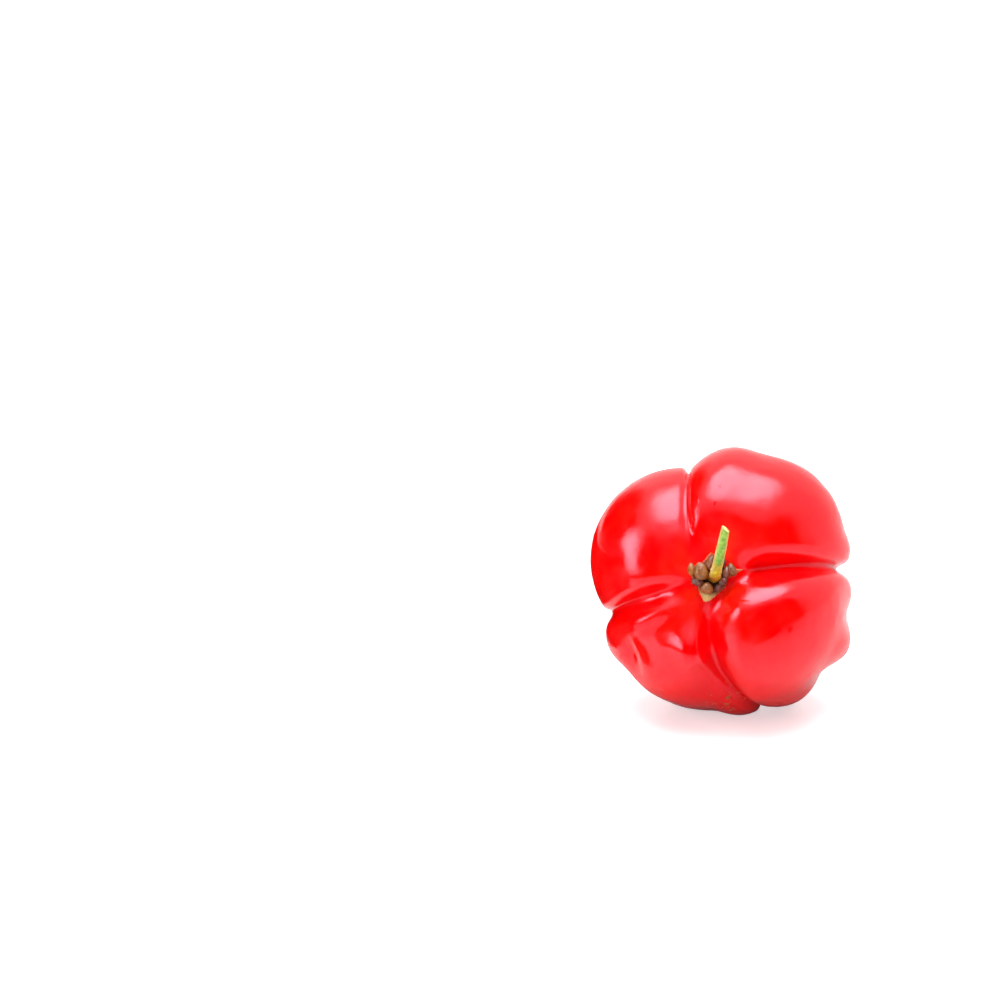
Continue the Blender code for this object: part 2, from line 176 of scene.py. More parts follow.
def ellipsoid_exit(bulge, rays):
    """Distance from the origin, along each ray, to where it leaves the bulge's ellipsoid."""
    bearing = math.radians(bulge.bearing)
    out = np.array([math.cos(bearing), math.sin(bearing), 0.0])
    side = np.array([-out[1], out[0], 0.0])
    scaled = np.stack(
        [rays @ out / bulge.depth, rays @ side / bulge.breadth, rays[:, 2] / bulge.height],
        axis=1,
    )
    centre = np.array([bulge.reach / bulge.depth - 1.0, 0.0, bulge.shift / bulge.height])
    squared = np.einsum("ij,ij->i", scaled, scaled)
    along = scaled @ centre
    return (along + np.sqrt(along**2 - squared * (centre @ centre - 1.0))) / squared


def blended_max(layers, power):
    """A maximum whose corners are rounded, more so for a lower power."""
    return (np.array(layers) ** power).sum(axis=0) ** (1.0 / power)


def groove_bearings(polar):
    """Where each groove has curled to at a polar angle from the calyx."""
    rise = 1.0 - np.degrees(polar) / 90.0
    share = (1.0 + BACK_CURL + (1.0 - BACK_CURL) * np.tanh(rise / CURL_CHANGE)) / 2.0
    return [g.bearing + g.curl * share * np.sign(rise) * np.abs(rise) ** g.curl_power for g in GROOVES]


def passed_groove(bearing, grooves):
    """Which of the grooves each bearing has passed last, and by how many degrees."""
    past = np.array([(bearing - groove) % 360.0 for groove in grooves])
    return past.argmin(axis=0), past.min(axis=0)


def retrace(bearing, start, end):
    """Carry bearings from between the start grooves to the same share of the way between the end grooves."""
    passed, past = passed_groove(bearing, start)
    carried = np.zeros(len(bearing))
    for index in range(len(GROOVES)):
        after = (index + 1) % len(GROOVES)
        stretch = ((end[after] - end[index]) % 360.0) / ((start[after] - start[index]) % 360.0)
        carried = np.where(passed == index, end[index] + past * stretch, carried)
    return carried


def uncurl(rays):
    """Each ray's bearing, turned about the stem axis so that every curling groove keeps its own bearing."""
    bearing = np.degrees(np.arctan2(rays[:, 1], rays[:, 0]))
    curled = groove_bearings(np.arccos(np.clip(rays[:, 2], -1.0, 1.0)))
    return retrace(bearing, curled, [groove.bearing for groove in GROOVES])


def lobe_radius(ribs, bearing, rays):
    """Distance to the skin of one lobe on its own, with the rays turned to the given bearing."""
    turned = rays_at(np.radians(bearing), np.arccos(np.clip(rays[:, 2], -1.0, 1.0)))
    return blended_max([ellipsoid_exit(bulge, turned) for bulge in ribs], RIB_BLEND)


def lobed_radius(rays):
    """Distance to the skin of the four lobes, each falling to its own two grooves."""
    bearing = uncurl(rays)
    passed, past = passed_groove(bearing, [groove.bearing for groove in GROOVES])
    out = np.hypot(rays[:, 0], rays[:, 1])
    floors = []
    for index, groove in enumerate(GROOVES):
        there = np.full(len(rays), float(groove.bearing))
        sides = [lobe_radius(LOBES[index - 1], there, rays), lobe_radius(LOBES[index], there, rays)]
        depth = groove.depth + (groove.rim_depth - groove.depth) * out**GIRTH_POWER
        depth = depth * np.clip((out - POLE_FADE[0]) / (POLE_FADE[1] - POLE_FADE[0]), 0.0, 1.0)
        floors.append(np.minimum(*sides) - depth)
    radius = np.zeros(len(rays))
    for index, ribs in enumerate(LOBES):
        after = (index + 1) % len(GROOVES)
        start, end = GROOVES[index], GROOVES[after]
        wide = (end.bearing - start.bearing) % 360.0
        crown = lobe_radius(ribs, bearing, rays)
        near = np.radians(past) * out * crown + 1e-6
        far = np.radians(np.maximum(wide - past, 0.0)) * out * crown + 1e-6
        floor = (floors[index] * far**2 + floors[after] * near**2) / (near**2 + far**2)
        narrowing = 1.0 + (FLANK_AT_GIRTH - 1.0) * out**FLANK_GIRTH_POWER
        rise = 1.0 - np.exp(-((near / start.flank_after / narrowing) ** FLANK_POWER))
        fall = 1.0 - np.exp(-((far / end.flank_before / narrowing) ** FLANK_POWER))
        radius = np.where(passed == index, floor + (crown - floor) * rise * fall, radius)
    return radius


def sink(rays, radius, hollow):
    """The radius after a round hollow is sunk into it, with a level seat at its bottom."""
    facing = np.clip(hollow.pole * rays[:, 2], 1e-3, 1.0)
    polar = np.degrees(np.arccos(facing))
    sunk = radius - hollow.depth * np.exp(-((polar / hollow.width_deg) ** 2))
    seat = hollow.seat_height / facing
    out = np.hypot(rays[:, 0], rays[:, 1])
    steep = math.radians(hollow.steep_bearing)
    facing_steep = (rays[:, 0] * math.cos(steep) + rays[:, 1] * math.sin(steep)) / np.maximum(out, 1e-9)
    wall_width = hollow.wall_width * (1.0 - hollow.steepness * np.clip(facing_steep, 0.0, 1.0) ** 2)
    wall = np.clip((out * seat - hollow.seat_radius) / wall_width, 0.0, 1.0)
    wall = wall * wall * (3.0 - 2.0 * wall)
    return np.where(hollow.pole * rays[:, 2] > HOLLOW_EDGE, seat + (sunk - seat) * wall, radius)


def skin_radius(rays):
    """Distance from the origin to the skin along each unit ray."""
    radius = lobed_radius(rays)
    for swell in SWELLS:
        turn = math.radians(swell.turn)
        x = rays[:, 0] * radius - swell.x
        y = rays[:, 1] * radius - swell.y
        along = (x * math.cos(turn) + y * math.sin(turn)) / swell.length
        across = (y * math.cos(turn) - x * math.sin(turn)) / swell.width
        front = np.clip(rays[:, 2] / SWELL_FADE, 0.0, 1.0)
        radius = radius + front * swell.rise * np.exp(-(along**2) - across**2)
    return sink(rays, sink(rays, radius, STEM_HOLLOW), BLOSSOM_HOLLOW)


def skin_height(x, y):
    """How far the skin stands above the origin's plane at points near the calyx, by halving an angle."""
    x, y = np.atleast_1d(x).astype(float), np.atleast_1d(y).astype(float)
    bearing, out = np.arctan2(y, x), np.hypot(x, y)
    low, high = np.zeros(len(x)), np.full(len(x), math.radians(SEARCH_DEG))
    for _ in range(SEARCH_STEPS):
        polar = (low + high) / 2.0
        radius = skin_radius(rays_at(bearing, polar))
        short = radius * np.sin(polar) < out
        low, high = np.where(short, polar, low), np.where(short, high, polar)
    return radius * np.cos(polar)


def read_points(piece):
    """The piece's vertices, one a row."""
    points = np.empty(len(piece.data.vertices) * 3)
    piece.data.vertices.foreach_get("co", points)
    return points.reshape(-1, 3)


def write_points(piece, points):
    piece.data.vertices.foreach_set("co", np.asarray(points, dtype=np.float32).ravel())
    piece.data.update()


def rough_field(points, wavelength, octaves=2):
    """Smooth noise between -1 and 1 at each point, with hills about one wavelength apart."""
    return np.array([noise.fractal(Vector(point / wavelength), 1.0, 2.0, octaves) for point in points])


def sphere_rays(piece):
    """The directions of a new sphere's points, one a row."""
    points = read_points(piece)
    return points / np.linalg.norm(points, axis=1, keepdims=True)


straight = []
for index, count in enumerate(MERIDIANS_OF_LOBES):
    first = GROOVES[index].bearing
    wide = (GROOVES[(index + 1) % len(GROOVES)].bearing - first) % 360.0
    for step in range(count):
        share = step / count
        gathered = share - GATHERING * math.sin(2.0 * math.pi * share) / (2.0 * math.pi)
        straight.append(first + wide * gathered)
bpy.ops.mesh.primitive_uv_sphere_add(segments=len(straight), ring_count=PARALLELS, radius=1.0)
fruit = bpy.context.object
fruit.name = "fruit_skin"
rays = sphere_rays(fruit)
meridian = np.round(np.arctan2(rays[:, 1], rays[:, 0]) / (2.0 * math.pi) * len(straight)).astype(int)
polar = np.arccos(np.clip(rays[:, 2], -1.0, 1.0))
even_bearing = np.array(straight)[meridian % len(straight)]
bearing = retrace(even_bearing, [groove.bearing for groove in GROOVES], groove_bearings(polar))
rays = rays_at(np.radians(bearing), polar)
skin = rays * skin_radius(rays)[:, None]

# Fine unevenness of the flesh under the skin, which breaks up the reflections
waves = WAVE_HEIGHT * rough_field(skin, WAVE_LENGTH)
ripples = RIPPLE_HEIGHT * rough_field(skin + RIPPLE_OFFSET, RIPPLE_LENGTH)
skin = skin + rays * (waves + ripples)[:, None]

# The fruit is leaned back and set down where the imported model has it, flat where it touches the table
lean = Euler((math.radians(90.0 - LEAN_DEG), 0.0, 0.0)).to_matrix()
leaned = skin @ np.array(lean).T * MM
low, high = (np.array(corner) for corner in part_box("fruit"))
middle = (leaned.min(axis=0) + leaned.max(axis=0)) / 2.0
fruit_origin = np.array(
    [(low[0] + high[0]) / 2.0 - middle[0], (low[1] + high[1]) / 2.0 - middle[1], high[2] - leaned[:, 2].max()]
)
placed = leaned + fruit_origin
placed[:, 2] = np.maximum(placed[:, 2], low[2])
write_points(fruit, placed)
bpy.ops.object.shade_smooth()
pose = Matrix.Translation(fruit_origin) @ lean.to_4x4()

# How deep each point lies in a groove, for the painted shade that darkens the skin's red there
bearings = [groove.bearing for groove in GROOVES]
wide = np.array([(after - first) % 360.0 for first, after in zip(bearings, bearings[1:] + bearings[:1])])
passed, past = passed_groove(even_bearing, bearings)
edge = np.minimum(past, wide[passed] - past)
arc = np.radians(np.maximum(edge, 0.0)) * np.sin(polar) * np.linalg.norm(skin, axis=1)
groove_shade = np.exp(-((arc / GROOVE_SHADE_WIDTH) ** 2))


def mark(piece, name, values):
    """Give the piece an attribute with one number for each of its points, for its material to read."""
    attribute = piece.data.attributes.new(name, "FLOAT", "POINT")
    attribute.data.foreach_set("value", np.asarray(values, dtype=np.float32))


mark(fruit, "groove_shade", groove_shade)


def add_node(tree, kind, inputs=None, **settings):
    """A shader node with its settings, and with each input set to a value or linked to a socket."""
    added = tree.nodes.new(kind)
    for name, value in settings.items():
        setattr(added, name, value)
    for name, value in (inputs or {}).items():
        if isinstance(value, bpy.types.NodeSocket):
            tree.links.new(value, added.inputs[name])
        else:
            added.inputs[name].default_value = value
    return added


def new_material(name):
    """A material with only a Principled BSDF and its output."""
    material = bpy.data.materials.new(name)
    material.use_nodes = True
    return material, material.node_tree, material.node_tree.nodes["Principled BSDF"]


def dress(piece, material, body="root"):
    """Give a finished piece its material and the body that it rides on."""
    piece.data.materials.clear()
    piece.data.materials.append(material)
    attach(piece, body)


def read_mark(tree, name):
    return add_node(tree, "ShaderNodeAttribute", attribute_name=name).outputs["Fac"]


def ramp(tree, value, start, end, high=1.0, low=0.0):
    """From low to high, with soft ends, as the value goes from start to end."""
    smooth = add_node(
        tree,
        "ShaderNodeMapRange",
        {"Value": value, "From Min": start, "From Max": end, "To Min": low, "To Max": high},
        interpolation_type="SMOOTHSTEP",
    )
    return smooth.outputs["Result"]


def calculate(tree, operation, *values):
    return add_node(tree, "ShaderNodeMath", dict(enumerate(values)), operation=operation).outputs["Value"]


def blend_colours(tree, share, first, second):
    """The first colour, giving way to the second as the share goes from 0 to 1."""
    inputs = {"Factor": share, "A": first, "B": second}
    return add_node(tree, "ShaderNodeMix", inputs, data_type="RGBA").outputs["Result"]


def cloudy(tree, place, scale, detail=2.0, roughness=0.5):
    """Soft noise, with about this many clouds to the metre."""
    inputs = {"Vector": place, "Scale": scale, "Detail": detail, "Roughness": roughness}
    return add_node(tree, "ShaderNodeTexNoise", inputs).outputs["Fac"]


def emboss(tree, shader, height, strength, depth):
    """Raise the surface after a map of its heights, by up to this many millimetres."""
    inputs = {"Height": height, "Strength": strength, "Distance": depth * MM}
    relief = add_node(tree, "ShaderNodeBump", inputs)
    tree.links.new(relief.outputs["Normal"], shader.inputs["Normal"])


# Mottling is in the flesh of every piece: two tones in soft patches, with finer flecks inside them
FLECKS_TO_PATCH = 4.3
FLECK_SHARE = 0.35
LIGHT_TONES = (0.45, 0.90)  # the dark tone gives way to the light one between these
mottling = bpy.data.node_groups.new("mottled_flesh", "ShaderNodeTree")
for name, kind in (("Dark", "NodeSocketColor"), ("Light", "NodeSocketColor"), ("Scale", "NodeSocketFloat")):
    mottling.interface.new_socket(name, in_out="INPUT", socket_type=kind)
mottling.interface.new_socket("Color", in_out="OUTPUT", socket_type="NodeSocketColor")
mottling.interface.new_socket("Height", in_out="OUTPUT", socket_type="NodeSocketFloat")
given = mottling.nodes.new("NodeGroupInput").outputs
given_out = mottling.nodes.new("NodeGroupOutput")
inside = add_node(mottling, "ShaderNodeTexCoord").outputs["Object"]
patches = cloudy(mottling, inside, given["Scale"], 5.0, 0.6)
flecks = cloudy(mottling, inside, calculate(mottling, "MULTIPLY", given["Scale"], FLECKS_TO_PATCH))
tone = ramp(mottling, calculate(mottling, "MULTIPLY_ADD", flecks, FLECK_SHARE, patches), *LIGHT_TONES)
mottling.links.new(blend_colours(mottling, tone, given["Dark"], given["Light"]), given_out.inputs["Color"])
mottling.links.new(patches, given_out.inputs["Height"])


def mottle(tree, dark, light, scale):
    """Place the mottling in a material with its own two tones and scale, and hand back its outputs."""
    placed = tree.nodes.new("ShaderNodeGroup")
    placed.node_tree = mottling
    placed.inputs["Dark"].default_value = (*dark, 1.0)
    placed.inputs["Light"].default_value = (*light, 1.0)
    placed.inputs["Scale"].default_value = scale
    return placed.outputs


CALYX_PLACE = (0.0, 0.0, 8.2)
SCUFF_PLACE = (1.6, -12.2, 3.0)  # where the lower lobes lie on the table
BLOSSOM_SCAR_PLACE = (0.0, 0.0, -6.9)
# a darker red painted into the grooves as painted shade
GROOVE_SHADE_RED = (0.78, 0.0, 0.001, 1.0)
LENTICEL_RED = (0.40, 0.0, 0.004, 1.0)
SCAR_BROWN = (0.42, 0.085, 0.008, 1.0)
LENTICELS_A_METRE = 1700.0
LENTICEL_SIZE = (0.15, 0.05)  # shares of the way to the next one: its outer and its inner edge
LENTICEL_COLOUR, LENTICEL_DEPTH = 0.35, 0.25
SCRATCHES = (0.54, 0.66)
DULL, GLOSSY = 0.24, 0.10  # roughness of the wax where it is thin and where it is thick
SCAR_DULLNESS = 0.3
WAX_IOR = 1.5
WAX_TINT = (1.0, 0.74, 0.98, 1.0)
FLESH_SHARE = 0.25
FLESH_REACH = (1.0, 0.12, 0.06)
FLESH_DEPTH = 1.2
skin_material, tree, shader = new_material("waxy_red_skin")
skin_place = add_node(tree, "ShaderNodeTexCoord").outputs["Object"]


def nearness(place, core, reach):
    """1 within the core's radius of a place in the fruit, and 0 past the reach, all in millimetres."""
    inputs = {0: skin_place, 1: pose @ (Vector(place) * MM)}
    away = add_node(tree, "ShaderNodeVectorMath", inputs, operation="DISTANCE")
    return ramp(tree, away.outputs["Value"], reach * MM, core * MM)


ripe = mottle(tree, dark=(0.80, 0.0, 0.001), light=(0.88, 0.003, 0.001), scale=240.0)
warm = mottle(tree, dark=(0.74, 0.001, 0.001), light=(0.88, 0.020, 0.002), scale=420.0)
skin_colour = blend_colours(tree, nearness(CALYX_PLACE, 1.5, 6.0), ripe["Color"], warm["Color"])
# painted shade: the skin's red darkens down in the grooves
skin_colour = blend_colours(tree, read_mark(tree, "groove_shade"), skin_colour, GROOVE_SHADE_RED)
inputs = {"Vector": skin_place, "Scale": LENTICELS_A_METRE, "Randomness": 1.0}
cells = add_node(tree, "ShaderNodeTexVoronoi", inputs)
lenticels = ramp(tree, cells.outputs["Distance"], *LENTICEL_SIZE)
speckled = calculate(tree, "MULTIPLY", lenticels, LENTICEL_COLOUR)
skin_colour = blend_colours(tree, speckled, skin_colour, LENTICEL_RED)
scratches = ramp(tree, cloudy(tree, skin_place, 1300.0, 4.0, 0.7), *SCRATCHES)
scuffed = calculate(tree, "MULTIPLY", nearness(SCUFF_PLACE, 0.6, 3.4), scratches)
scarred = calculate(tree, "MAXIMUM", scuffed, nearness(BLOSSOM_SCAR_PLACE, 0.3, 1.0))
skin_colour = blend_colours(tree, scarred, skin_colour, SCAR_BROWN)
tree.links.new(skin_colour, shader.inputs["Base Color"])
polish = ramp(tree, cloudy(tree, skin_place, 500.0, 5.0, 0.65), 0.35, 0.65, DULL, GLOSSY)
dulled = calculate(tree, "MULTIPLY_ADD", scarred, SCAR_DULLNESS, polish)
tree.links.new(dulled, shader.inputs["Roughness"])
pits = calculate(tree, "MULTIPLY", lenticels, LENTICEL_DEPTH)
grain = cloudy(tree, skin_place, 1500.0, 4.0, 0.6)
emboss(tree, shader, calculate(tree, "SUBTRACT", grain, pits), 0.45, 0.03)
shader.inputs["IOR"].default_value = WAX_IOR
shader.inputs["Specular Tint"].default_value = WAX_TINT
shader.inputs["Subsurface Weight"].default_value = FLESH_SHARE
shader.inputs["Subsurface Radius"].default_value = FLESH_REACH
shader.inputs["Subsurface Scale"].default_value = FLESH_DEPTH * MM
dress(fruit, skin_material)
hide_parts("fruit")

# The calyx: five small sepals, dried to thin brown and cream scales on a disc that lies against the skin. A
# sphere is pressed flat into a star, and follows the skin below it. The sepal below the stem is the driest.
CALYX_SEGMENTS = 320
CALYX_RINGS = 96
CALYX_DISC = 1.45
CALYX_THICKNESS = 0.34
CALYX_REST = 0.05  # how high its underside lies over the skin, before it wrinkles
SEPAL_THICKNESS = 0.14
SEPAL_START = 1.2  # a sepal thins down from this far out to twice as far
SEPAL_POWER = 1.2  # 1 gives a sepal with hollow sides and 2 a round one
EDGE_POWER = 10  # how late on the way out the edge rounds off
RIM_POWER = 14  # and how late the colour of the rim sets in
RAGGED_SHARE, RAGGED_LENGTH = 0.05, 0.09
WRINKLE_HEIGHT, WRINKLE_LENGTH = 0.05, 0.5
RIBS_ROUND = 46.0
RIB_HEIGHT = 0.014
RIB_POWER = 8  # how late the ribs run out
GLAND_SHADOW_EDGE, GLAND_SHADOW_WIDTH = 1.9, 0.6


class Sepal(NamedTuple):
    """One sepal: where it points, how far it runs out, how far its tip lifts, and how dry and red it is."""

    bearing: float
    length: float
    half_angle: float
    lift: float
    dryness: float
    redness: float


SEPALS = [
    Sepal(14, 3.1, 9, 0.30, 0.10, 1.0),
    Sepal(92, 2.35, 24, 0.25, 0.0, 0.9),
    Sepal(164, 2.35, 28, 0.40, 0.0, 0.7),
    Sepal(255, 2.55, 29, 0.25, 1.0, 0.0),
    Sepal(324, 1.6, 26, 0.05, 0.9, 0.2),
]
bpy.ops.mesh.primitive_uv_sphere_add(segments=CALYX_SEGMENTS, ring_count=CALYX_RINGS, radius=1.0)
calyx = bpy.context.object
calyx.name = "dry_calyx"
rays = sphere_rays(calyx)
bearing = np.degrees(np.arctan2(rays[:, 1], rays[:, 0]))
above = np.arcsin(np.clip(rays[:, 2], -1.0, 1.0)) / (math.pi / 2.0)
out = 1.0 - np.abs(above)
sides = np.array([(bearing - sepal.bearing + 180.0) % 360.0 - 180.0 for sepal in SEPALS])
half_angles = np.array([sepal.half_angle for sepal in SEPALS])
shares = np.exp(-((np.abs(sides) / half_angles[:, None]) ** SEPAL_POWER))


def most_of(values):
    """The strongest share at each point of the sepals' own values."""
    return (np.array(values)[:, None] * shares).max(axis=0)


flat_rays = np.stack([rays[:, 0], rays[:, 1], 0.0 * out], axis=1)
ragged = 1.0 + RAGGED_SHARE * rough_field(flat_rays, RAGGED_LENGTH)
reach = (CALYX_DISC + most_of([sepal.length - CALYX_DISC for sepal in SEPALS])) * ragged * out
x, y = reach * np.cos(np.radians(bearing)), reach * np.sin(np.radians(bearing))
past_disc = np.clip((reach - SEPAL_START) / SEPAL_START, 0.0, 1.0)
thickness = CALYX_THICKNESS + (SEPAL_THICKNESS - CALYX_THICKNESS) * past_disc
lift = most_of([sepal.lift for sepal in SEPALS]) * past_disc**2
wrinkles = WRINKLE_HEIGHT * rough_field(np.stack([x, y, 0.0 * x], axis=1), WRINKLE_LENGTH, 3)
fluting = np.cos(np.radians(bearing) * RIBS_ROUND)
ribs = RIB_HEIGHT * fluting * past_disc * (1.0 - out**RIB_POWER)
swell = np.sign(above) * np.sqrt(1.0 - out**EDGE_POWER)
underside = skin_height(x, y) + lift + wrinkles + CALYX_REST
height = underside + thickness * (1.0 + swell) / 2.0 + ribs * (swell > 0.0)


def place_on_fruit(piece, points):
    """Lean the points, given in the fruit's own frame in millimetres, and set them down with the fruit."""
    write_points(piece, points @ np.array(lean).T * MM + fruit_origin)


place_on_fruit(calyx, np.stack([x, y, height], axis=1))
bpy.ops.object.shade_smooth()
mark(calyx, "dryness", most_of([sepal.dryness for sepal in SEPALS]) * past_disc)
mark(calyx, "redness", most_of([sepal.redness for sepal in SEPALS]))
mark(calyx, "rim", out**RIM_POWER)
# painted shadow: the disc darkens to near black under and between the glands
mark(calyx, "under_glands", np.clip((GLAND_SHADOW_EDGE - reach) / GLAND_SHADOW_WIDTH, 0.0, 1.0))
mark(calyx, "ribs", 0.5 + 0.5 * fluting)

RIM_BROWN = (0.50, 0.115, 0.035, 1.0)
GLAND_SHADOW = (0.030, 0.008, 0.003, 1.0)
calyx_material, tree, shader = new_material("dry_sepal_scale")
leaf = mottle(tree, dark=(0.12, 0.035, 0.005), light=(0.30, 0.09, 0.012), scale=1500.0)
red_leaf = mottle(tree, dark=(0.22, 0.022, 0.008), light=(0.50, 0.070, 0.020), scale=1300.0)
cream_leaf = mottle(tree, dark=(0.66, 0.44, 0.12), light=(0.95, 0.72, 0.30), scale=1100.0)
sepal_colour = blend_colours(tree, read_mark(tree, "redness"), leaf["Color"], red_leaf["Color"])
sepal_colour = blend_colours(tree, read_mark(tree, "dryness"), sepal_colour, cream_leaf["Color"])
sepal_colour = blend_colours(tree, read_mark(tree, "rim"), sepal_colour, RIM_BROWN)
sepal_colour = blend_colours(tree, read_mark(tree, "under_glands"), sepal_colour, GLAND_SHADOW)
tree.links.new(sepal_colour, shader.inputs["Base Color"])
emboss(tree, shader, calculate(tree, "ADD", leaf["Height"], read_mark(tree, "ribs")), 0.4, 0.05)
shader.inputs["Roughness"].default_value = 0.55
dress(calyx, calyx_material)
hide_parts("calyx")

# The oil glands: fleshy brown beads that crowd on the sepals round the foot of the pedicel, some olive and
# some purple, with a waxy glint and pale creases. Each is a sphere drawn out to an egg, and they are joined
# in one.


class Gland(NamedTuple):
    """One oil gland, an egg placed by looking straight at the stem end and turned about that line."""

    x: float
    y: float
    half_width: float
    half_length: float
    half_height: float
    turn: float
    purple: float
    ochre: float


GLANDS = [
    Gland(-1.05, 0.56, 0.70, 0.86, 0.66, 14, 0.05, 0.30),
    Gland(-0.14, 1.36, 0.48, 0.76, 0.60, -16, 0.55, 0.10),
    Gland(-1.98, 0.74, 0.36, 0.60, 0.44, 6, 0.0, 1.0),
    Gland(-1.38, -0.43, 0.60, 0.46, 0.50, -12, 0.85, 0.0),
    Gland(-0.48, -1.05, 0.60, 0.56, 0.58, 0, 0.15, 0.65),
    Gland(0.60, -1.00, 0.46, 0.34, 0.38, 24, 1.0, 0.0),
    Gland(1.12, -0.40, 0.36, 0.52, 0.44, -42, 0.9, 0.0),
    Gland(1.38, 0.42, 0.32, 0.62, 0.50, -4, 0.8, 0.0),
    Gland(1.92, 0.72, 0.38, 0.66, 0.48, 22, 0.35, 0.15),
    Gland(0.98, 1.42, 0.40, 0.52, 0.42, -30, 0.8, 0.0),
]
GLAND_SEGMENTS = 72
GLAND_RINGS = 44
GLAND_SINK = 0.12  # how far a gland is pressed into the sepals
GLAND_TAPER = 0.14
DENT_SHARE, DENT_LENGTH = 0.10, 1.4
PIMPLE_SHARE, PIMPLE_LENGTH = 0.05, 0.45
CREASE_DEPTH = 0.04
CREASE_SHARPNESS = 13.0
CREASE_OFFSET = 5.0
SEED_STEP = 17.0  # gives every gland dents and creases of its own
beads = []
for index, gland in enumerate(GLANDS):
    bpy.ops.mesh.primitive_uv_sphere_add(segments=GLAND_SEGMENTS, ring_count=GLAND_RINGS, radius=1.0)
    bead = bpy.context.object
    rays = read_points(bead)
    seed = rays + SEED_STEP * (index + 1)
    dented = 1.0 + DENT_SHARE * rough_field(seed, DENT_LENGTH)
    bulging = dented + PIMPLE_SHARE * rough_field(seed, PIMPLE_LENGTH)
    folds = rough_field(seed + CREASE_OFFSET, 1.0, 1)
    creases = CREASE_DEPTH * np.clip(1.0 - CREASE_SHARPNESS * np.abs(folds), 0.0, 1.0)
    egg = rays * (bulging - creases)[:, None]
    taper = 1.0 - GLAND_TAPER * egg[:, 1]
    size = np.array([gland.half_width, gland.half_length, gland.half_height])
    egg = egg * size * np.stack([taper, np.ones(len(egg)), taper], axis=1)
    turn = math.radians(gland.turn)
    x = gland.x + egg[:, 0] * math.cos(turn) - egg[:, 1] * math.sin(turn)
    y = gland.y + egg[:, 0] * math.sin(turn) + egg[:, 1] * math.cos(turn)
    base = float(skin_height(gland.x, gland.y)[0]) + CALYX_THICKNESS - GLAND_SINK + gland.half_height
    place_on_fruit(bead, np.stack([x, y, base + egg[:, 2]], axis=1))
    mark(bead, "purple", np.full(len(egg), gland.purple))
    mark(bead, "ochre", gland.ochre * np.clip(0.6 - 0.5 * rays[:, 1], 0.0, 1.0))
    mark(bead, "crease", creases / CREASE_DEPTH)
    bpy.ops.object.shade_smooth()
    beads.append(bead)
for bead in beads:
    bead.select_set(True)
oil_glands = beads[0]
bpy.context.view_layer.objects.active = oil_glands
bpy.ops.object.join()
oil_glands.name = "oil_gland_beads"

CREASE_COLOUR = (0.50, 0.24, 0.11, 1.0)
CREASE_PALENESS = 0.22
gland_material, tree, shader = new_material("waxy_brown_gland")
brown = mottle(tree, dark=(0.06, 0.018, 0.003), light=(0.27, 0.085, 0.013), scale=2300.0)
plum = mottle(tree, dark=(0.035, 0.007, 0.005), light=(0.17, 0.036, 0.024), scale=1700.0)
ochre = mottle(tree, dark=(0.26, 0.075, 0.008), light=(0.50, 0.18, 0.022), scale=1500.0)
gland_colour = blend_colours(tree, read_mark(tree, "ochre"), brown["Color"], ochre["Color"])
gland_colour = blend_colours(tree, read_mark(tree, "purple"), gland_colour, plum["Color"])
creased = calculate(tree, "MULTIPLY", read_mark(tree, "crease"), CREASE_PALENESS)
gland_colour = blend_colours(tree, creased, gland_colour, CREASE_COLOUR)
tree.links.new(gland_colour, shader.inputs["Base Color"])
emboss(tree, shader, brown["Height"], 0.5, 0.06)
wax = add_node(
    tree,
    "ShaderNodeMapRange",
    {"Value": plum["Height"], "From Min": 0.3, "From Max": 0.7, "To Min": 0.22, "To Max": 0.50},
)
tree.links.new(wax.outputs["Result"], shader.inputs["Roughness"])
shader.inputs["Specular IOR Level"].default_value = 0.6
dress(oil_glands, gland_material)
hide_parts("oil_glands")

# The pedicel: a green stalk that rises from the calyx and leans up, orange-brown and thicker at its jointed
# foot, with a pale rib down each side and its end cut across at a slant. A sphere's rings are led along its
# curve.
PEDICEL_FOOT = (0.25, -0.05, 8.25)
PEDICEL_TIP = (1.4, 5.1, 13.8)
PEDICEL_RISE = 2.0
PEDICEL_LEAN = (0.35, 1.8, 1.5)
PEDICEL_TRIM = 0.7
PEDICEL_SLANT = 0.75
PEDICEL_RADII = [0.66, 0.59, 0.50, 0.47, 0.46, 0.45, 0.44, 0.42, 0.39, 0.35]
PEDICEL_FLATNESS = 0.8
PEDICEL_SEGMENTS = 120
PEDICEL_RINGS = 260
CUT_SHARE = 0.12  # the share of the sphere's rings that makes the cut end
FOOT_SHARE = 0.03
CUT_EDGE = 0.98  # the cut face reaches this share of the way out to the rind
RIB_WIDTH = 0.62
RIB_SHARE = 0.10
JOINT_PLACE, JOINT_HEIGHT, JOINT_WIDTH = 0.30, 0.05, 0.03
FIBRES_ROUND = 17.0
FIBRE_SHARE = 0.015
KNOT_SHARE, KNOT_LENGTH, KNOT_STRETCH = 0.03, 0.6, 9.0
SHARP_EDGE_DEG = 50.0
bpy.ops.mesh.primitive_uv_sphere_add(segments=PEDICEL_SEGMENTS, ring_count=PEDICEL_RINGS, radius=1.0)
pedicel = bpy.context.object
pedicel.name = "green_pedicel"
rays = sphere_rays(pedicel)
around = np.arctan2(rays[:, 1], rays[:, 0])
down = np.arccos(np.clip(rays[:, 2], -1.0, 1.0)) / math.pi
along = np.clip((1.0 - FOOT_SHARE - down) / (1.0 - FOOT_SHARE - CUT_SHARE), 0.0, 1.0)
spread = np.clip(down / CUT_SHARE, 0.0, 1.0) * np.clip((1.0 - down) / FOOT_SHARE, 0.0, 1.0)
foot, tip, leaning = (np.array(place) for place in (PEDICEL_FOOT, PEDICEL_TIP, PEDICEL_LEAN))
trimmed = 1.0 - PEDICEL_TRIM / np.linalg.norm(tip - foot)
handles = [foot, foot + np.array([0.0, 0.0, PEDICEL_RISE]), tip - leaning, tip]
radius = np.interp(along, np.linspace(0.0, 1.0, len(PEDICEL_RADII)), PEDICEL_RADII)
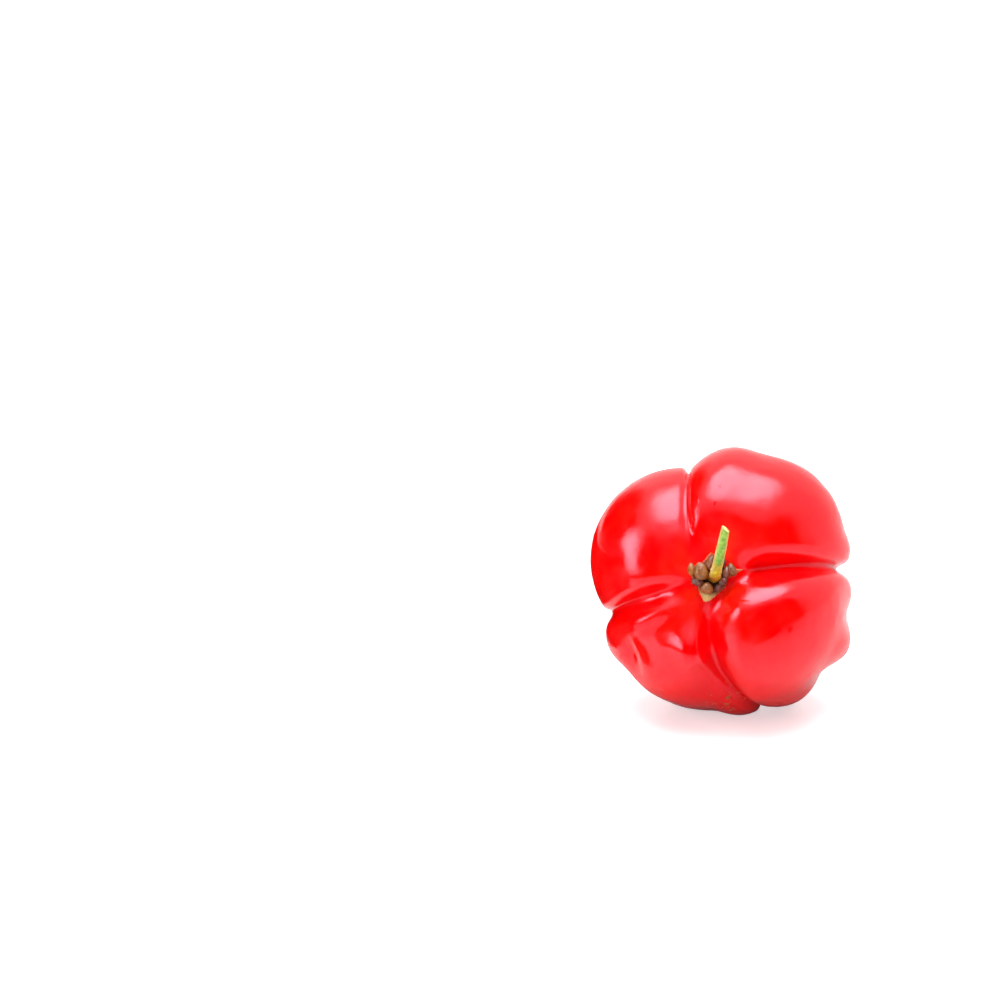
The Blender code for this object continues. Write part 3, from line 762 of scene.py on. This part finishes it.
slanted = PEDICEL_SLANT * radius * spread * np.cos(around) / np.linalg.norm(tip - foot)
travel = (along * (trimmed - slanted))[:, None]
centre = (
    (1.0 - travel) ** 3 * handles[0]
    + 3.0 * (1.0 - travel) ** 2 * travel * handles[1]
    + 3.0 * (1.0 - travel) * travel**2 * handles[2]
    + travel**3 * handles[3]
)
heading = (
    (1.0 - travel) ** 2 * (handles[1] - handles[0])
    + 2.0 * (1.0 - travel) * travel * (handles[2] - handles[1])
    + travel**2 * (handles[3] - handles[2])
)
heading /= np.linalg.norm(heading, axis=1, keepdims=True)
side = np.array([1.0, 0.0, 0.0]) - heading[:, :1] * heading
side /= np.linalg.norm(side, axis=1, keepdims=True)
front = np.cross(side, heading)
rib = np.exp(-((np.sin(around) / RIB_WIDTH) ** 4))
joint = JOINT_HEIGHT * np.exp(-(((along - JOINT_PLACE) / JOINT_WIDTH) ** 2))
stretched = np.stack([np.cos(around), np.sin(around), along * KNOT_STRETCH], axis=1)
fibres = FIBRE_SHARE * np.cos(around * FIBRES_ROUND) + KNOT_SHARE * rough_field(stretched, KNOT_LENGTH, 3)
width = radius * (1.0 + RIB_SHARE * rib + fibres) + joint
skin = (
    centre
    + side * (width * spread * np.cos(around))[:, None]
    + front * (PEDICEL_FLATNESS * width * spread * np.sin(around))[:, None]
)
place_on_fruit(pedicel, skin)
bpy.ops.object.shade_smooth_by_angle(angle=math.radians(SHARP_EDGE_DEG))
mark(pedicel, "along", along)
mark(pedicel, "rib", rib)
mark(pedicel, "cut_face", np.where((down < CUT_SHARE) & (spread < CUT_EDGE), 1.0, 0.0))

OLIVE_SETS_IN = (0.14, 0.32)  # shares of the way from the foot to the cut end
GREEN_SETS_IN = (0.40, 0.52)
pedicel_material, tree, shader = new_material("green_stalk_rind")
green = mottle(tree, dark=(0.10, 0.26, 0.015), light=(0.34, 0.58, 0.07), scale=2400.0)
olive = mottle(tree, dark=(0.34, 0.20, 0.003), light=(0.66, 0.55, 0.015), scale=1900.0)
rust = mottle(tree, dark=(0.20, 0.045, 0.002), light=(0.60, 0.24, 0.006), scale=1800.0)
pale = mottle(tree, dark=(0.52, 0.33, 0.07), light=(0.86, 0.62, 0.27), scale=1300.0)
length = read_mark(tree, "along")
turned_olive = ramp(tree, length, *OLIVE_SETS_IN)
turned_green = ramp(tree, length, *GREEN_SETS_IN)
stalk = blend_colours(tree, turned_olive, rust["Color"], olive["Color"])
stalk = blend_colours(tree, turned_green, stalk, green["Color"])
bare_rib = calculate(tree, "MULTIPLY", read_mark(tree, "rib"), turned_olive)
stalk = blend_colours(tree, bare_rib, stalk, pale["Color"])
stalk = blend_colours(tree, read_mark(tree, "cut_face"), stalk, pale["Color"])
tree.links.new(stalk, shader.inputs["Base Color"])
emboss(tree, shader, green["Height"], 0.4, 0.05)
shader.inputs["Roughness"].default_value = 0.48
dress(pedicel, pedicel_material)
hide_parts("pedicel")

# The floor is a plain white table, lit from within, which takes a soft pink shadow under the fruit. It
# isn't part of the object.
TABLE_SIZE = 3.0
TABLE_GREY = (0.55, 0.55, 0.55, 1.0)
TABLE_GLOW = (1.0, 0.875, 0.89, 1.0)
TABLE_GLOW_STRENGTH = 0.6  # for the camera alone
bpy.ops.mesh.primitive_plane_add(size=TABLE_SIZE)
table = bpy.context.object
table.name = "table"
table_material, tree, shader = new_material("white_table")
shader.inputs["Base Color"].default_value = TABLE_GREY
shader.inputs["Roughness"].default_value = 0.35
shader.inputs["Emission Color"].default_value = TABLE_GLOW
path = add_node(tree, "ShaderNodeLightPath")
glow = calculate(tree, "MULTIPLY", path.outputs["Is Camera Ray"], TABLE_GLOW_STRENGTH)
tree.links.new(glow, shader.inputs["Emission Strength"])
table.data.materials.append(table_material)

# The studio: a bright room that is dark on the camera's side and at the far left, with one softbox overhead
# and one at the left. The camera sees plain white behind the table. A soft fill from the front shows in no
# reflection, and a low dark card at the left shows in reflections alone. A direction is an azimuth, which
# is 0 on the camera's side and 90 at the right, and an elevation.
CAMERA_SIDE = (0.0, 0.0)
OVERHEAD = (0.0, 90.0)
LEFT_BOX = (-72.0, 24.0)
FAR_LEFT = (-112.0, 5.0)
WALL_LIGHT = 1.3
ROOM_LIGHT = 1.4
BOX_LIGHT = 10.5
STUDIO_WHITE = (0.8, 0.8, 0.8, 1.0)
BACKDROP_WHITE = (1.0, 1.0, 1.0, 1.0)
world = bpy.data.worlds.new("white_studio")
bpy.context.scene.world = world
world.use_nodes = True
tree = world.node_tree
tree.nodes.clear()
looking = add_node(tree, "ShaderNodeTexCoord")


def toward(azimuth, elevation):
    """How straight the world's ray points to a direction, from -1 to 1."""
    turn, tilt = math.radians(azimuth), math.radians(elevation)
    direction = (math.sin(turn) * math.cos(tilt), -math.cos(turn) * math.cos(tilt), math.sin(tilt))
    inputs = {0: looking.outputs["Generated"], 1: direction}
    return add_node(tree, "ShaderNodeVectorMath", inputs, operation="DOT_PRODUCT").outputs["Value"]


walls = ramp(tree, toward(*CAMERA_SIDE), 0.50, 0.10, WALL_LIGHT)
ceiling = ramp(tree, toward(*OVERHEAD), 0.55, 0.85, ROOM_LIGHT)
room = calculate(tree, "MINIMUM", calculate(tree, "ADD", walls, ceiling), ROOM_LIGHT)
overhead_box = ramp(tree, toward(*OVERHEAD), 0.84, 0.97, BOX_LIGHT)
left_box = ramp(tree, toward(*LEFT_BOX), 0.95, 0.995, BOX_LIGHT)
far_left = ramp(tree, toward(*FAR_LEFT), 0.80, 0.62)
boxes = calculate(tree, "ADD", overhead_box, left_box)
lit = calculate(tree, "ADD", calculate(tree, "MULTIPLY", room, far_left), boxes)
above_table = ramp(tree, toward(*OVERHEAD), -0.02, 0.0)
brightness = calculate(tree, "MULTIPLY", lit, above_table)
studio = add_node(tree, "ShaderNodeBackground", {"Color": STUDIO_WHITE, "Strength": brightness})
backdrop = add_node(tree, "ShaderNodeBackground", {"Color": BACKDROP_WHITE, "Strength": 1.0})
path = add_node(tree, "ShaderNodeLightPath")
seen = add_node(
    tree,
    "ShaderNodeMixShader",
    {0: path.outputs["Is Camera Ray"], 1: studio.outputs["Background"], 2: backdrop.outputs["Background"]},
)
add_node(tree, "ShaderNodeOutputWorld", {"Surface": seen.outputs["Shader"]})

CARD_PLACE = (-0.019, 0.010, 0.0085)
CARD_HEIGHT, CARD_LENGTH = 0.017, 0.040
CARD_RED = (0.12, 0.0, 0.0, 1.0)
upright = (0.0, math.radians(90.0), 0.0)
bpy.ops.mesh.primitive_plane_add(size=1.0, location=CARD_PLACE, rotation=upright)
card = bpy.context.object
card.name = "dark_red_card"
card.scale = (CARD_HEIGHT, CARD_LENGTH, 1.0)
bpy.ops.object.transform_apply(location=True, rotation=True, scale=True)
card_material, card_tree, card_shader = new_material("dark_red_card")
card_shader.inputs["Base Color"].default_value = CARD_RED
card_shader.inputs["Specular IOR Level"].default_value = 0.0
card.data.materials.append(card_material)
card.visible_camera = card.visible_diffuse = card.visible_shadow = card.visible_transmission = False

FILL_PLACE = (0.0, -0.238, 0.090)
FILL_SIZE = 0.14
FILL_WATTS = 0.22
facing_fruit = (math.radians(90.0 - LEAN_DEG), 0.0, 0.0)
bpy.ops.object.light_add(type="AREA", location=FILL_PLACE, rotation=facing_fruit)
fill = bpy.context.object
fill.name = "soft_front_fill"
fill.data.size = FILL_SIZE
fill.data.energy = FILL_WATTS
fill.visible_glossy = False

# The camera looks down on the table, with the stem axis pointing straight at it. The fruit lies to the lower
# right of the frame, as in the photograph.
FRAME_PIXELS = 1000
CALYX_PIXEL = (712.0, 577.0)
CAMERA_DISTANCE = 278.0 * MM
camera_data = bpy.data.cameras.new("camera")
camera_data.lens = 100.0
camera_data.sensor_width = 36.0
camera_data.clip_start = 0.01
camera = bpy.data.objects.new("camera", camera_data)
bpy.context.scene.collection.objects.link(camera)
bpy.context.scene.camera = camera
focal_pixels = camera_data.lens / camera_data.sensor_width * FRAME_PIXELS
aside = math.atan((CALYX_PIXEL[0] - FRAME_PIXELS / 2.0) / focal_pixels)
below = math.atan((CALYX_PIXEL[1] - FRAME_PIXELS / 2.0) / focal_pixels)
aim = Matrix.Rotation(aside, 4, "Y") @ Matrix.Rotation(below, 4, "X")
stand = Vector(fruit_origin) + lean @ Vector((0.0, 0.0, CAMERA_DISTANCE))
camera.matrix_world = Matrix.Translation(stand) @ lean.to_4x4() @ aim
